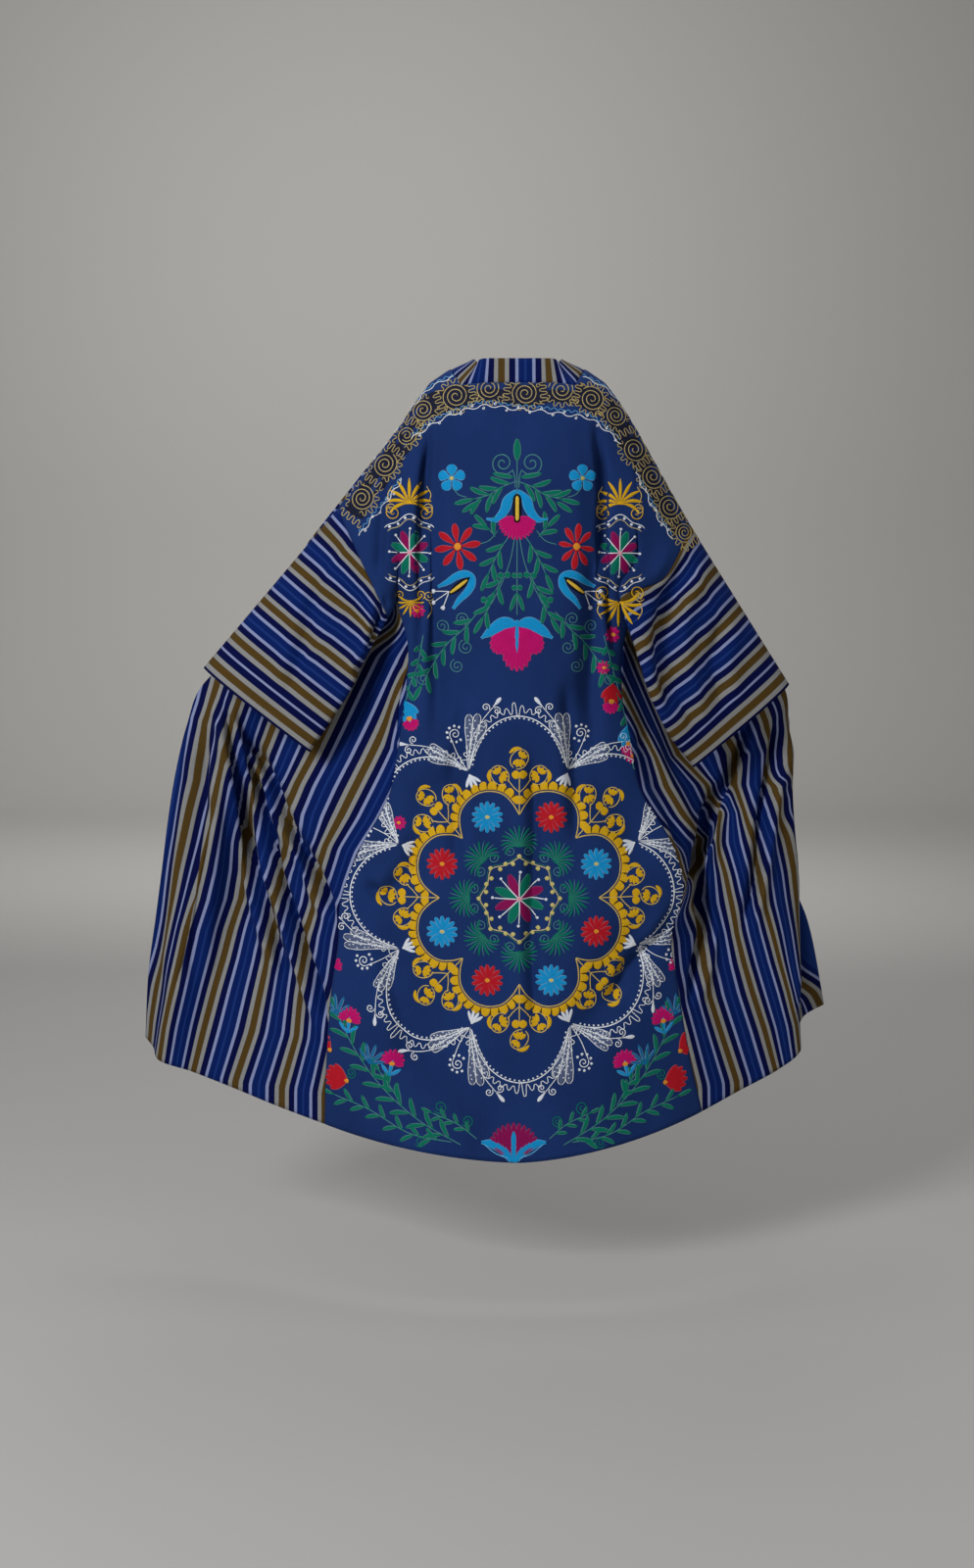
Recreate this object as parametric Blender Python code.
"""Long open robe with wide straight sleeves, worn and held open by its front edges.

Frame: metres, +Z up. The wearer faces +Y, so the back of the robe faces -Y, and +X is the
wearer's right. The origin lies between the two shoulder points that carry the robe.
Every cloth piece is a thin wall: a grid of points on its outer face, laid through rows of
named sections, and the same grid moved inwards by the thickness of the cloth.
"""

import bmesh
import bpy
import numpy as np

WALL = 0.0018  # two layers of cotton where they are sewn together as one
SEAM_GAP = 0.0003  # between neighbouring pieces
BAND_WIDTH = 0.042  # neckband, from its seam to its free edge
BAND_END_WIDTH = 0.010  # where it runs out into the front edge
BAND_TAPER = 0.090  # length over which it does so
CLOTH_SPREAD = (0.0, 0.107, 0.246, 0.439, 0.633, 0.827, 1.0)  # stations across a front panel
RISING = (0.3, 0.5, 0.8)  # direction that orders the points of a seam
BACK_ROUNDNESS = 2.4  # how flat the middle of the back is before it turns to the sides
HEM_ROUNDNESS = 1.5  # the same for the rise of the hem and the rows above it

# Top line of the shoulders: distance from the centre line, height.
SHOULDER = ((0.000, 0.034), (0.060, 0.034), (0.085, 0.031), (0.110, 0.021), (0.140, 0.001),
            (0.165, -0.031), (0.185, -0.062))

# Back, from the front of the shoulder down to the armpit. "slope" says how much of the
# shoulder line's fall the row still has; y_seam is the depth of the armhole edge, and
# neck is the share of the half width at which the neck hole ends.
YOKE_ROWS = (
    # name        z_centre  slope  y_centre  y_seam  x_seam  neck
    ("wrap",       -0.004,  1.00,   0.056,   0.052,  0.185,  0.56),
    ("wrap_mid",    0.023,  1.00,   0.030,   0.028,  0.185,  0.58),
    ("ridge",       0.034,  1.00,   0.000,   0.000,  0.185,  0.58),
    ("behind",      0.024,  1.00,  -0.032,  -0.030,  0.185,  0.56),
    ("nape",       -0.004,  1.00,  -0.064,  -0.056,  0.185,  0.49),
    ("yoke",       -0.046,  0.90,  -0.088,  -0.073,  0.185,  0.50),
    ("upper",      -0.100,  0.72,  -0.105,  -0.084,  0.186,  0.50),
    ("blades",     -0.170,  0.48,  -0.116,  -0.088,  0.187,  0.50),
    ("under",      -0.245,  0.24,  -0.120,  -0.082,  0.189,  0.50),
    ("low",        -0.305,  0.09,  -0.121,  -0.068,  0.191,  0.50),
    ("armpit",     -0.352,  0.00,  -0.122,  -0.046,  0.193,  0.50),
)
NECK_ROW = 4  # the neck hole reaches down to this row

# Robe below the armpits. Each row is one level of the cloth: centre back and both side seams.
SKIRT_ROWS = (
    # name     y_centre z_centre x_left  x_right y_seam  z_left  z_right
    ("chest",  -0.122,  -0.420, -0.176,  0.170, -0.060, -0.420, -0.418),
    ("waist",  -0.123,  -0.500, -0.181,  0.168, -0.065, -0.500, -0.496),
    ("hip",    -0.124,  -0.585, -0.192,  0.182, -0.070, -0.580, -0.574),
    ("seat",   -0.127,  -0.670, -0.208,  0.200, -0.070, -0.660, -0.652),
    ("thigh",  -0.132,  -0.755, -0.252,  0.247, -0.075, -0.740, -0.730),
    ("middle", -0.140,  -0.840, -0.284,  0.268, -0.080, -0.820, -0.808),
    ("knee",   -0.150,  -0.925, -0.290,  0.249, -0.080, -0.900, -0.886),
    ("calf",   -0.162,  -1.010, -0.302,  0.260, -0.085, -0.980, -0.965),
    ("low",    -0.176,  -1.115, -0.309,  0.276, -0.090, -1.080, -1.062),
    ("hem",    -0.190,  -1.227, -0.313,  0.300, -0.095, -1.190, -1.169),
)

# Front panels below the armpit, a row per skirt row, from the front edge to the side seam.
# The places are the stations of CLOTH_SPREAD but the last, which is the seam itself.
LEFT_FRONT_ROWS = (
    # z_edge   x at the edge and at stations 1 to 5                  y at the same places
    (-0.360, (-0.398, -0.376, -0.345, -0.296, -0.252, -0.210), (0.088, 0.084, 0.078, 0.064, 0.034, -0.012)),
    (-0.430, (-0.462, -0.440, -0.410, -0.354, -0.294, -0.234), (0.084, 0.080, 0.068, 0.052, 0.028, -0.014)),
    (-0.492, (-0.525, -0.502, -0.468, -0.400, -0.325, -0.248), (0.072, 0.060, 0.042, 0.050, 0.026, -0.016)),
    (-0.555, (-0.549, -0.519, -0.482, -0.420, -0.350, -0.275), (0.070, 0.048, 0.018, 0.046, 0.020, -0.030)),
    (-0.637, (-0.570, -0.533, -0.497, -0.440, -0.374, -0.308), (0.072, 0.043, 0.004, 0.046, 0.012, -0.020)),
    (-0.717, (-0.584, -0.546, -0.512, -0.453, -0.394, -0.334), (0.072, 0.041, 0.000, 0.040, -0.006, -0.018)),
    (-0.797, (-0.595, -0.560, -0.530, -0.465, -0.404, -0.346), (0.072, 0.043, 0.000, 0.036, 0.000, -0.036)),
    (-0.875, (-0.606, -0.577, -0.549, -0.485, -0.418, -0.355), (0.070, 0.045, 0.004, 0.030, -0.006, -0.030)),
    (-0.975, (-0.620, -0.594, -0.573, -0.513, -0.446, -0.376), (0.066, 0.042, 0.006, 0.020, -0.012, -0.042)),
    (-1.083, (-0.626, -0.610, -0.597, -0.540, -0.469, -0.394), (0.062, 0.040, 0.010, 0.010, -0.016, -0.052)),
)
RIGHT_FRONT_ROWS = (
    (-0.360, (0.346, 0.330, 0.304, 0.266, 0.230, 0.194), (0.090, 0.086, 0.078, 0.062, 0.032, -0.012)),
    (-0.430, (0.400, 0.384, 0.352, 0.306, 0.262, 0.208), (0.086, 0.080, 0.066, 0.046, 0.024, -0.016)),
    (-0.492, (0.446, 0.436, 0.404, 0.346, 0.290, 0.226), (0.075, 0.068, 0.052, 0.034, 0.030, -0.016)),
    (-0.550, (0.455, 0.447, 0.424, 0.368, 0.312, 0.244), (0.078, 0.060, 0.034, 0.024, 0.036, -0.020)),
    (-0.625, (0.460, 0.456, 0.436, 0.382, 0.330, 0.282), (0.088, 0.066, 0.030, 0.008, 0.040, -0.006)),
    (-0.700, (0.464, 0.462, 0.450, 0.400, 0.340, 0.296), (0.098, 0.076, 0.034, 0.000, 0.010, 0.010)),
    (-0.775, (0.472, 0.466, 0.462, 0.418, 0.358, 0.304), (0.104, 0.082, 0.042, -0.006, -0.010, -0.010)),
    (-0.850, (0.488, 0.474, 0.468, 0.442, 0.378, 0.318), (0.105, 0.086, 0.046, -0.006, -0.016, -0.034)),
    (-0.940, (0.508, 0.486, 0.474, 0.460, 0.408, 0.342), (0.101, 0.086, 0.046, 0.000, -0.020, -0.046)),
    (-1.034, (0.525, 0.492, 0.474, 0.472, 0.430, 0.363), (0.096, 0.082, 0.046, 0.004, -0.022, -0.056)),
)

# Upper front panels, from the shoulder seam to the armpit: how far down the straight line
# from neck to hand the neckband seam is, the armhole edge, and how far the cloth rolls out.
CHEST_ROWS = (
    # name       along   x_armhole y_armhole z_armhole roll
    ("shoulder",  0.00,   0.185,    0.052,   -0.100,   0.000),
    ("collar",    0.16,   0.185,    0.060,   -0.160,   0.020),
    ("upper",     0.33,   0.186,    0.058,   -0.220,   0.040),
    ("chest",     0.47,   0.188,    0.042,   -0.275,   0.048),
    ("low",       0.58,   0.190,    0.010,   -0.322,   0.044),
    ("armpit",    0.64,   0.193,   -0.046,   -0.352,   0.034),
)
NECK_CORNER = (0.104, 0.055, -0.015)  # mirrored for the left side
EDGE_SAG = (0.000, 0.030, -0.016)  # of the front edge between neck and hand
CHEST_ROLL = (0.55, 0.80, -0.10)  # the way the cloth rolls out, mirrored for the left side
SEAM_EASE = 0.6  # share of a front's width from which it bends to meet the side seam
HAND_HOLD = {"left": (-0.526, 0.074, -0.505), "right": (0.450, 0.076, -0.505)}

# Neckband: the way it leans from its seam to its free edge, in band widths, counted from
# the shoulder seam along the left side of the neck hole to the centre back, and mirrored.
# The mitred corner behind the neck is longer than the band is wide.
NECKBAND_LEAN = (
    (0, (0.84, 0.25, 0.30)),
    (2, (0.90, 0.04, 0.22)),
    (4, (0.64, 0.72, 0.90)),
    (6, (0.22, 0.42, 0.92)),
    (8, (0.06, 0.34, 0.93)),
    (13, (0.00, 0.34, 0.93)),
)

# Sleeves: rings from the armhole to the cuff, each from its top point to its lowest point,
# with half the thickness that the arm gives it. The first ring is the armhole itself.
SLEEVE_RINGS = {
    "left": (
        # s     top x    y      z       low x    y       z      half   droop: x      y      z
        (0.36, (-0.290, 0.000, -0.198), (-0.206, -0.060, -0.374), 0.054, (0.000, -0.004, 0.000)),
        (0.68, (-0.398, 0.004, -0.325), (-0.266, -0.066, -0.488), 0.045, (0.000, 0.000, 0.000)),
        (1.00, (-0.511, 0.006, -0.456), (-0.334, -0.050, -0.590), 0.038, (0.000, 0.000, 0.000)),
    ),
    "right": (
        (0.36, (0.280, 0.000, -0.226), (0.201, -0.062, -0.380), 0.056, (-0.056, -0.050, 0.012)),
        (0.68, (0.360, 0.004, -0.352), (0.226, -0.090, -0.530), 0.047, (-0.024, -0.024, 0.010)),
        (1.00, (0.444, 0.006, -0.483), (0.282, -0.066, -0.613), 0.040, (0.000, 0.000, 0.000)),
    ),
}
DROOP_SHARE = (0.82, 0.16)  # where between top and lowest point the back wall droops, how widely
SLEEVE_JOIN = 0.36  # where the plain upper part meets the striped lower part
UNDERARM_FLATNESS = 0.62  # how much of its thickness a sleeve loses towards its lowest point

# Largest folds: soft troughs in the back panel, along a line of (x, z), pressed in by depth.
BACK_FOLDS = (
    # half width, depth, line
    (0.016, 0.024, ((-0.130, -0.060), (-0.138, -0.200), (-0.136, -0.330), (-0.126, -0.480),
                    (-0.130, -0.620))),
    (0.016, 0.024, ((0.116, -0.060), (0.122, -0.200), (0.120, -0.330), (0.112, -0.480),
                    (0.122, -0.620))),
    (0.030, 0.014, ((-0.060, -0.560), (-0.150, -0.680), (-0.235, -0.790))),
    (0.030, 0.014, ((0.060, -0.540), (0.140, -0.660), (0.225, -0.770))),
    (0.034, 0.018, ((0.210, -0.860), (0.150, -0.960), (0.080, -1.060))),
    (0.034, 0.012, ((-0.240, -0.860), (-0.160, -0.980), (-0.080, -1.080))),
)

# Side pocket: a slit in the left side seam over a flat bag.
POCKET_ROWS = (-0.455, -0.585)  # top and bottom of the slit
POCKET_GAPE = 0.012  # how far the slit stands open
POCKET_BAG = (0.66, 0.165)  # share of the front panel that it reaches to, depth of the bag
BAG_GAP = 0.0005  # between the bag and the panel that it lies behind

SHOULDER_COLUMNS = 6  # on each shoulder, between the neck and the armhole
NECK_COLUMNS = 18  # between the two shoulders
FRONT_PARTS = 3  # front panel columns to each shoulder column
SKIRT_STEPS = 2  # mesh rows in each skirt row
UPPER_SLEEVE_STEPS = 4
LOWER_SLEEVE_STEPS = 7
BAND_STEPS = 2

COLOURS = {
    "navy_cloth": (0.018, 0.040, 0.150),
    "striped_cloth": (0.060, 0.070, 0.180),
}


def spline(knots, values, at):
    """Smooth curve through values at the knots, read at any number of places."""
    knots = np.asarray(knots, float)
    values = np.asarray(values, float)
    at = np.clip(np.asarray(at, float), knots[0], knots[-1])
    steps = np.diff(knots)
    slopes = np.diff(values, axis=0) / steps.reshape(-1, *[1] * (values.ndim - 1))
    tangents = np.empty_like(values)
    tangents[0] = slopes[0]
    tangents[-1] = slopes[-1]
    before = steps[:-1].reshape(-1, *[1] * (values.ndim - 1))
    after = steps[1:].reshape(-1, *[1] * (values.ndim - 1))
    tangents[1:-1] = (slopes[:-1] * after + slopes[1:] * before) / (before + after)
    index = np.clip(np.searchsorted(knots, at, side="right") - 1, 0, len(knots) - 2)
    width = steps[index]
    t = (at - knots[index]) / width
    shape = (-1, *[1] * (values.ndim - 1))
    t = t.reshape(shape)
    width = width.reshape(shape)
    start, end = values[index], values[index + 1]
    out, into = tangents[index] * width, tangents[index + 1] * width
    return (
        start * (2 * t**3 - 3 * t**2 + 1)
        + out * (t**3 - 2 * t**2 + t)
        + end * (3 * t**2 - 2 * t**3)
        + into * (t**3 - t**2)
    )


def shoulder_height(x):
    places, heights = zip(*SHOULDER)
    return np.interp(np.abs(x), places, heights)


def smoothstep(value):
    value = np.clip(value, 0, 1)
    return value * value * (3 - 2 * value)


def distance_to_line(x, z, line):
    """Distance of points from a bent line, and how far along it the nearest place lies."""
    best = np.full(x.shape, np.inf)
    along = np.zeros(x.shape)
    spans = len(line) - 1
    for number, (start, end) in enumerate(zip(line[:-1], line[1:])):
        dx, dz = end[0] - start[0], end[1] - start[1]
        share = np.clip(((x - start[0]) * dx + (z - start[1]) * dz) / (dx * dx + dz * dz), 0, 1)
        distance = np.hypot(x - start[0] - share * dx, z - start[1] - share * dz)
        nearer = distance < best
        best = np.where(nearer, distance, best)
        along = np.where(nearer, (number + share) / spans, along)
    return best, along


def press_folds(points, folds):
    """Soft troughs that fade out at both ends."""
    x, z = points[..., 0].copy(), points[..., 2].copy()
    for half, depth, line in folds:
        distance, along = distance_to_line(x, z, line)
        fade = smoothstep(np.minimum(along, 1 - along) * 4)
        points[..., 1] += depth * fade * np.exp(-((distance / half) ** 2))
    return points


def spread_evenly(points, count):
    """Places along the straight lines between points, the same number in each of them."""
    steps = np.linspace(0, len(points) - 1, count)
    known = np.arange(len(points))
    return np.array([np.interp(steps, known, axis) for axis in points.T]).T


def spread_across(neck):
    """Column places from the left seam, -1, to the right seam, 1."""
    shoulder = np.linspace(-1, -neck, SHOULDER_COLUMNS + 1)
    middle = np.linspace(-neck, neck, NECK_COLUMNS + 1)
    return np.concatenate([shoulder[:-1], middle, -shoulder[-2::-1]])


def back_grid():
    """Rows from the front of the shoulders to the hem, columns from left to right."""
    rows = []
    for _, z_centre, slope, y_centre, y_seam, x_seam, neck in YOKE_ROWS:
        across = spread_across(neck)
        x = across * x_seam
        side = np.abs(across) ** BACK_ROUNDNESS
        z = z_centre + (shoulder_height(x) - SHOULDER[0][1]) * slope
        rows.append(np.stack([x, y_centre + (y_seam - y_centre) * side, z], axis=1))
    across = spread_across(YOKE_ROWS[-1][-1])
    side, rise = np.abs(across) ** BACK_ROUNDNESS, np.abs(across) ** HEM_ROUNDNESS
    for _, y_centre, z_centre, x_left, x_right, y_seam, z_left, z_right in SKIRT_ROWS:
        x = np.where(across < 0, -across * x_left, across * x_right)
        z_seam = np.where(across < 0, z_left, z_right)
        rows.append(np.stack(
            [x, y_centre + (y_seam - y_centre) * side, z_centre + (z_seam - z_centre) * rise],
            axis=1,
        ))
    last_yoke = len(YOKE_ROWS) - 1
    places = np.concatenate([
        np.arange(last_yoke),
        np.linspace(last_yoke, last_yoke + len(SKIRT_ROWS), len(SKIRT_ROWS) * SKIRT_STEPS + 1),
    ])
    knots = np.arange(len(rows), dtype=float)
    return press_folds(spline(knots, np.array(rows), places), BACK_FOLDS)


def front_grid(side, rows_below, back):
    """Rows from the shoulder seam to the hem, columns from the front edge to the side."""
    sign = -1 if side == "left" else 1
    shares = np.array(CLOTH_SPREAD)
    neck = np.array(NECK_CORNER) * (sign, 1, 1)
    hand = np.array(HAND_HOLD[side])
    bulge = np.array(CHEST_ROLL) * (-sign, 1, 1)
    rows = []
    for _, along, x_armhole, y_armhole, z_armhole, roll in CHEST_ROWS:
        edge = neck + (hand - neck) * along + np.array(EDGE_SAG) * np.sin(np.pi * along)
        armhole = np.array((sign * x_armhole, y_armhole, z_armhole))
        row = edge + (armhole - edge) * shares[:, None]
        rows.append(row + bulge * roll * (6.75 * shares**2 * (1 - shares))[:, None])
    skirt_seams = back[len(YOKE_ROWS) - 1 + SKIRT_STEPS:: SKIRT_STEPS, 0 if side == "left" else -1]
    for (z_edge, x, y), seam in zip(rows_below, skirt_seams):
        z = z_edge + (seam[2] - z_edge) * shares[:-1]
        rows.append(np.array([*zip(x, y, z), seam]))
    armpit = len(CHEST_ROWS) - 1
    places = np.concatenate([
        np.arange(0, armpit, 0.5),
        np.linspace(armpit, armpit + len(rows_below), len(rows_below) * SKIRT_STEPS + 1),
    ])
    net = spline(np.arange(len(rows), dtype=float), np.array(rows), places)
    count = SHOULDER_COLUMNS * FRONT_PARTS
    columns = np.interp(np.linspace(0, SHOULDER_COLUMNS, count + 1), np.arange(7), shares)
    grid = np.swapaxes(spline(shares, np.swapaxes(net, 0, 1), columns), 0, 1)
    # The side seam is the back panel's own edge, and the shoulder seam is its first row.
    below = slice(2 * armpit, None)
    seam = back[len(YOKE_ROWS) - 1:, 0 if side == "left" else -1]
    shift = seam - grid[below, -1]
    grid[below] += shift[:, None] * smoothstep((columns - SEAM_EASE) / (1 - SEAM_EASE))[None, :, None]
    tab = back[0, SHOULDER_COLUMNS::-1] if side == "left" else back[0, -SHOULDER_COLUMNS - 1:]
    grid[0] = spread_evenly(tab, count + 1)
    return grid


def armhole_ring(side, back, front):
    """Closed ring: from the shoulder seam over the ridge, down the back and up the front."""
    last = len(YOKE_ROWS) - 1
    down = back[:last + 1, 0 if side == "left" else -1]
    up = front[:2 * (len(CHEST_ROWS) - 1), -1][::-1]
    return np.concatenate([down, up[:-1]])


def sleeve_grid(side, ring):
    """Rows from the armhole to the cuff, columns round the sleeve."""
    ridge = 2
    lowest = len(YOKE_ROWS) - 1
    top, low = ring[ridge], ring[lowest]
    share = np.clip((top[2] - ring[:, 2]) / (top[2] - low[2]), 0, 1)
    turn = np.arccos(1 - 2 * share)
    behind = np.ones(len(ring))
    behind[:ridge] = -1
    behind[lowest:] = -1
    droop_at, droop_wide = DROOP_SHARE
    hang = np.exp(-(((share - droop_at) / droop_wide) ** 2)) * (behind > 0)
    hang[lowest] = 0
    rows = [ring]
    for _, top_point, low_point, half, droop in SLEEVE_RINGS[side]:
        top_point, low_point = np.array(top_point), np.array(low_point)
        row = top_point + (low_point - top_point) * share[:, None]
        row[:, 1] -= behind * half * np.sin(turn) * (1 - UNDERARM_FLATNESS * share)
        rows.append(row + hang[:, None] * np.array(droop))
    knots = [0.0] + [row[0] for row in SLEEVE_RINGS[side]]
    places = np.concatenate([
        np.linspace(0, SLEEVE_JOIN, UPPER_SLEEVE_STEPS + 1),
        np.linspace(SLEEVE_JOIN, 1, LOWER_SLEEVE_STEPS + 1)[1:],
    ])
    return spline(knots, np.array(rows), places)


def away_from_edge(front):
    """Direction out of a front panel, square to its free edge."""
    along = np.gradient(front[:, 0], axis=0)
    along /= np.linalg.norm(along, axis=1)[:, None]
    away = front[:, 0] - front[:, 1]
    away -= along * np.sum(away * along, axis=1)[:, None]
    return away / np.linalg.norm(away, axis=1)[:, None]


def band_grid(back, fronts):
    """Columns along the band from the left front end round the neck to the right front end."""
    first, last = SHOULDER_COLUMNS, SHOULDER_COLUMNS + NECK_COLUMNS
    nape = back[NECK_ROW, first:last + 1]
    left_side = back[:NECK_ROW, first]
    right_side = back[:NECK_ROW, last][::-1]
    chest = slice(1, 2 * (len(CHEST_ROWS) - 1) + 1)
    left_front, right_front = fronts["left"][chest], fronts["right"][chest]
    round_neck = np.concatenate([left_side, nape, right_side])
    seam = np.concatenate([left_front[::-1, 0], round_neck, right_front[:, 0]])
    # Round the neck the band leans by hand; down the fronts it carries on from the panel.
    places, leans = zip(*NECKBAND_LEAN)
    middle = len(round_neck) // 2
    half = spline(places, leans, np.arange(middle + 1))
    lean = np.concatenate([
        away_from_edge(left_front)[::-1],
        half,
        half[:len(round_neck) - len(half)][::-1] * (-1, 1, 1),
        away_from_edge(right_front),
    ])
    lean[1:-1] = (lean[:-2] + 2 * lean[1:-1] + lean[2:]) / 4
    run = np.concatenate([[0], np.cumsum(np.linalg.norm(np.diff(seam, axis=0), axis=1))])
    from_end = np.minimum(run, run[-1] - run)
    width = BAND_END_WIDTH + (BAND_WIDTH - BAND_END_WIDTH) * smoothstep(from_end / BAND_TAPER)
    return np.array([
        seam + lean * (width * share)[:, None] for share in np.linspace(0, 1, BAND_STEPS + 1)
    ])


def pocket_grid(front, wall_normals):
    """The flat bag: the front panel's own points beside the slit, moved inside it."""
    heights = front[:, -1, 2]
    top = np.argmin(np.abs(heights - POCKET_ROWS[0]))
    bottom = np.argmin(np.abs(heights - POCKET_ROWS[0] + POCKET_BAG[1]))
    first = int(POCKET_BAG[0] * (front.shape[1] - 1))
    block = front[top:bottom + 1, first:].copy()
    normals = wall_normals[top:bottom + 1, first:]
    return block - normals * (WALL + BAG_GAP), normals


def face_normals(grid, closed):
    """Unit normals of a grid at its points."""
    if closed:
        along = np.roll(grid, -1, axis=1) - np.roll(grid, 1, axis=1)
    else:
        along = np.gradient(grid, axis=1)
    down = np.gradient(grid, axis=0)
    normals = np.cross(down, along)
    return normals / np.maximum(np.linalg.norm(normals, axis=2), 1e-9)[..., None]


def share_seam_normals(pieces):
    """Where pieces meet point to point, their walls lean the same way, so they never cross."""
    places = {}
    for name, piece in pieces.items():
        for index in piece["edge_points"]:
            key = tuple(np.round(piece["grid"][index] / 0.0004).astype(int))
            places.setdefault(key, []).append((name, index))
    for meeting in places.values():
        if len({name for name, _ in meeting}) < 2:
            continue
        total = sum(pieces[name]["normals"][index] for name, index in meeting)
        if np.linalg.norm(total) < 0.5:
            continue
        for name, index in meeting:
            pieces[name]["normals"][index] = total / np.linalg.norm(total)


def share_shoulder_normals(pieces):
    """The front panel has more columns than the back along the shoulder seam."""
    tabs = pieces["back"]["normals"][0]
    for side in ("left", "right"):
        tab = tabs[SHOULDER_COLUMNS::-1] if side == "left" else tabs[-SHOULDER_COLUMNS - 1:]
        normals = pieces[f"front_{side}"]["normals"]
        normals[0] = spread_evenly(tab, normals.shape[1])


def kept_cells(shape, dropped):
    rows, columns = shape
    return [
        (row, column) for row in range(rows) for column in range(columns)
        if (row, column) not in dropped
    ]


def make_piece(grid, closed=False, dropped=(), flip=False):
    """A cloth piece before it has its thickness: points, normals, cells and edge points."""
    rows, columns = grid.shape[0] - 1, grid.shape[1] if closed else grid.shape[1] - 1
    cells = kept_cells((rows, columns), set(dropped))
    normals = face_normals(grid, closed)
    if flip:
        normals = -normals
    used = {}
    for row, column in cells:
        for corner in cell_corners(row, column, grid.shape[1], closed):
            used[corner] = used.get(corner, 0) + 1
    edge_points = [index for index, count in used.items() if count < 4]
    return {
        "grid": grid, "normals": normals, "cells": cells, "closed": closed, "flip": flip,
        "edge_points": edge_points, "used": used,
    }


def cell_corners(row, column, width, closed):
    after = (column + 1) % width if closed else column + 1
    return ((row, column), (row, after), (row + 1, after), (row + 1, column))


def draw_back_edges(piece):
    """Moves the edge points inwards by half a seam gap, along the cloth."""
    grid = piece["grid"]
    moved = grid.copy()
    width = grid.shape[1]
    edge = set(piece["edge_points"])
    edge_use = {}
    for row, column in piece["cells"]:
        corners = cell_corners(row, column, width, piece["closed"])
        for start, end in zip(corners, corners[1:] + corners[:1]):
            edge_use.setdefault(frozenset((start, end)), []).append(corners)
    push = {index: np.zeros(3) for index in edge}
    for ends, cells in edge_use.items():
        if len(cells) > 1:
            continue
        start, end = tuple(ends)
        middle = (grid[start] + grid[end]) / 2
        centre = sum(grid[corner] for corner in cells[0]) / 4
        along = grid[end] - grid[start]
        along = along / max(np.linalg.norm(along), 1e-9)
        inward = centre - middle
        inward = inward - along * np.dot(inward, along)
        inward = inward / max(np.linalg.norm(inward), 1e-9)
        for index in (start, end):
            push[index] = push[index] + inward
    for index, direction in push.items():
        length = np.linalg.norm(direction)
        if length > 1e-6:
            corner = 1 if length < 1.2 else 2 / length
            moved[index] = grid[index] + direction / length * SEAM_GAP * 0.75 * corner
    piece["grid"] = moved


def build_wall(name, piece, material):
    """Outer face, inner face and the edges between them, as one closed mesh."""
    grid, normals = piece["grid"], piece["normals"]
    shape = bmesh.new()
    outer, inner = {}, {}
    for index in piece["used"]:
        outer[index] = shape.verts.new(grid[index])
        inner[index] = shape.verts.new(grid[index] - normals[index] * WALL)
    edges = {}
    for row, column in piece["cells"]:
        corners = cell_corners(row, column, grid.shape[1], piece["closed"])
        halves = [corners[:3], (corners[0], corners[2], corners[3])]
        if not piece["flip"]:
            corners = corners[::-1]
            halves = [half[::-1] for half in halves]
        for half in halves:
            shape.faces.new([outer[corner] for corner in half])
            shape.faces.new([inner[corner] for corner in half[::-1]])
        for start, end in zip(corners, corners[1:] + corners[:1]):
            key = frozenset((start, end))
            edges[key] = None if key in edges else (start, end)
    for pair in edges.values():
        if pair:
            start, end = pair
            # Both pieces at a seam split this strip from its higher outer point.
            if grid[start] @ RISING > grid[end] @ RISING:
                shape.faces.new([outer[end], outer[start], inner[end]])
                shape.faces.new([outer[start], inner[start], inner[end]])
            else:
                shape.faces.new([outer[end], outer[start], inner[start]])
                shape.faces.new([outer[end], inner[start], inner[end]])
    bmesh.ops.recalc_face_normals(shape, faces=shape.faces)
    mesh = bpy.data.meshes.new(name)
    shape.to_mesh(mesh)
    shape.free()
    mesh.shade_smooth()
    mesh.set_sharp_from_angle(angle=np.radians(50))
    mesh.materials.append(material)
    thing = bpy.data.objects.new(name, mesh)
    bpy.context.scene.collection.objects.link(thing)
    return thing


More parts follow.
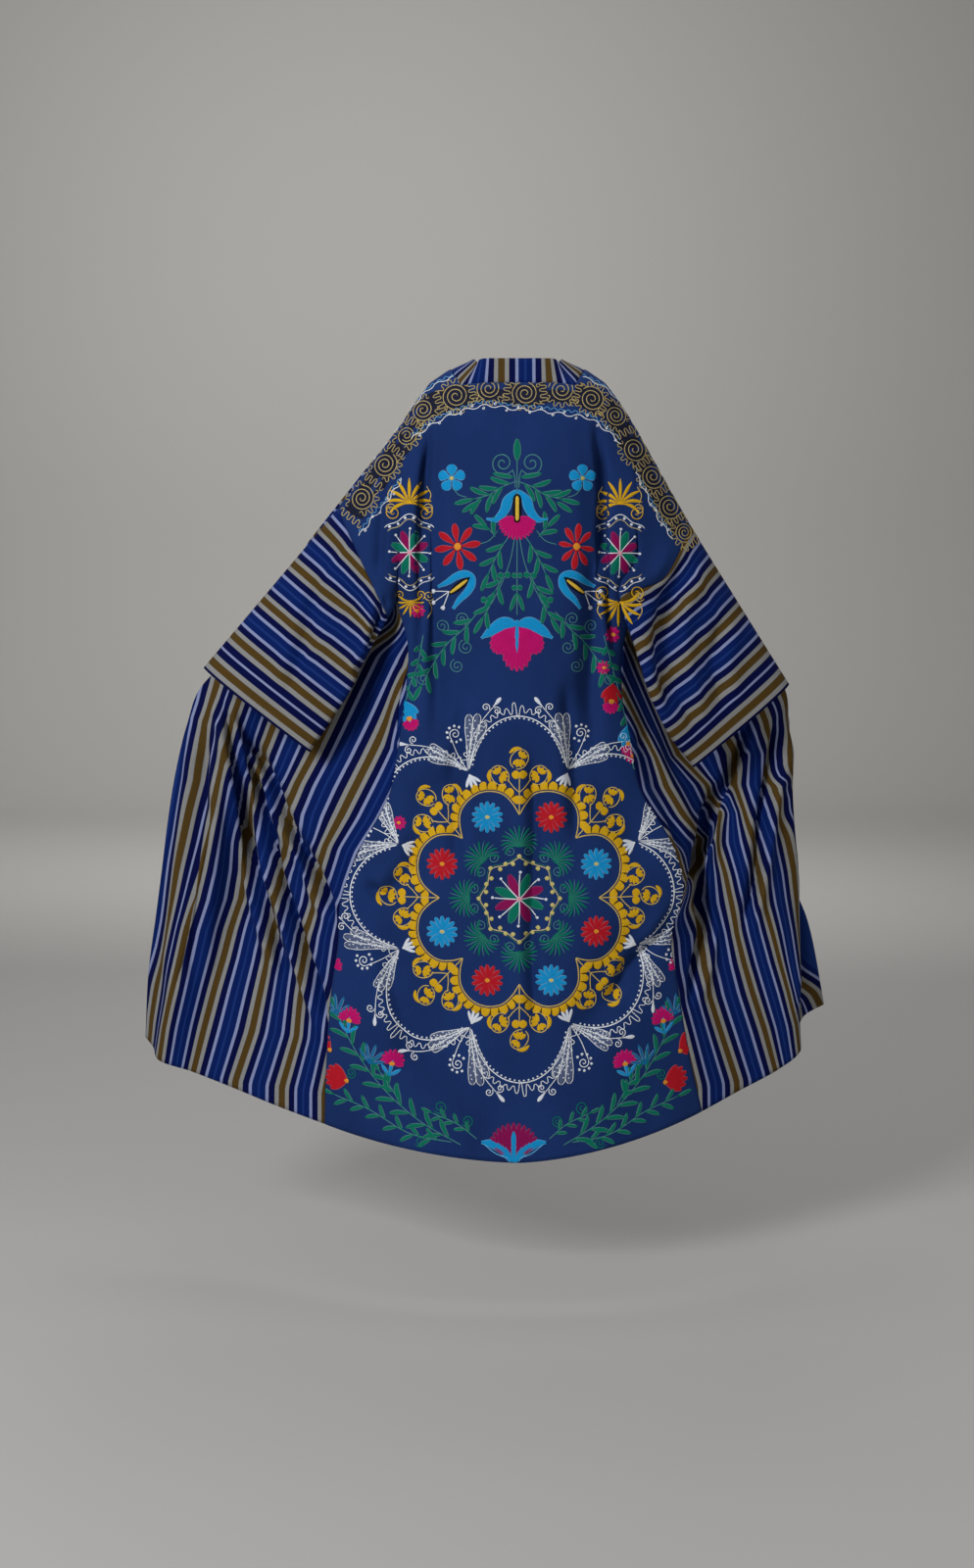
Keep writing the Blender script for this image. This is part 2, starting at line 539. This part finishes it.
def cloth_material(name, colour):
    material = bpy.data.materials.new(name)
    material.use_nodes = True
    shader = material.node_tree.nodes["Principled BSDF"]
    shader.inputs["Base Color"].default_value = (*colour, 1)
    shader.inputs["Roughness"].default_value = 0.85
    shader.inputs["Metallic"].default_value = 0.0
    material.diffuse_color = (*colour, 1)
    return material


def open_slit(front):
    """Draws the front panel's side edge back from the seam over the height of the slit."""
    heights = front[:, -1, 2]
    share = (heights - POCKET_ROWS[1]) / (POCKET_ROWS[0] - POCKET_ROWS[1])
    gape = POCKET_GAPE * np.sin(np.pi * np.clip(share, 0, 1)) ** 0.7
    inward = front[:, -2] - front[:, -1]
    inward /= np.linalg.norm(inward, axis=1)[:, None]
    opened = front.copy()
    opened[:, -1] += inward * gape[:, None]
    return opened


def main():
    for thing in list(bpy.data.objects):
        bpy.data.objects.remove(thing)
    navy = cloth_material("navy_cloth", COLOURS["navy_cloth"])
    striped = cloth_material("striped_cloth", COLOURS["striped_cloth"])

    back = back_grid()
    fronts = {
        "left": front_grid("left", LEFT_FRONT_ROWS, back),
        "right": front_grid("right", RIGHT_FRONT_ROWS, back),
    }
    neck_hole = {
        (row, SHOULDER_COLUMNS + column) for row in range(NECK_ROW) for column in range(NECK_COLUMNS)
    }
    pieces = {"back": make_piece(back, dropped=neck_hole)}
    for side, front in fronts.items():
        flip = side == "right"
        sleeve = sleeve_grid(side, armhole_ring(side, back, front))
        pieces[f"front_{side}"] = make_piece(front, flip=flip)
        pieces[f"sleeve_upper_{side}"] = make_piece(
            sleeve[:UPPER_SLEEVE_STEPS + 1], closed=True, flip=flip)
        pieces[f"sleeve_lower_{side}"] = make_piece(
            sleeve[UPPER_SLEEVE_STEPS:], closed=True, flip=flip)
    pieces["neckband"] = make_piece(band_grid(back, fronts), flip=True)
    share_seam_normals(pieces)
    share_shoulder_normals(pieces)

    bag, bag_normals = pocket_grid(fronts["left"], pieces["front_left"]["normals"])
    pieces["front_left"]["grid"] = open_slit(fronts["left"])
    pieces["pocket_left"] = make_piece(bag)
    pieces["pocket_left"]["normals"] = bag_normals

    plain = ("back", "sleeve_upper_left", "sleeve_upper_right")
    for name, piece in pieces.items():
        draw_back_edges(piece)
        build_wall(name, piece, navy if name in plain else striped)


main()
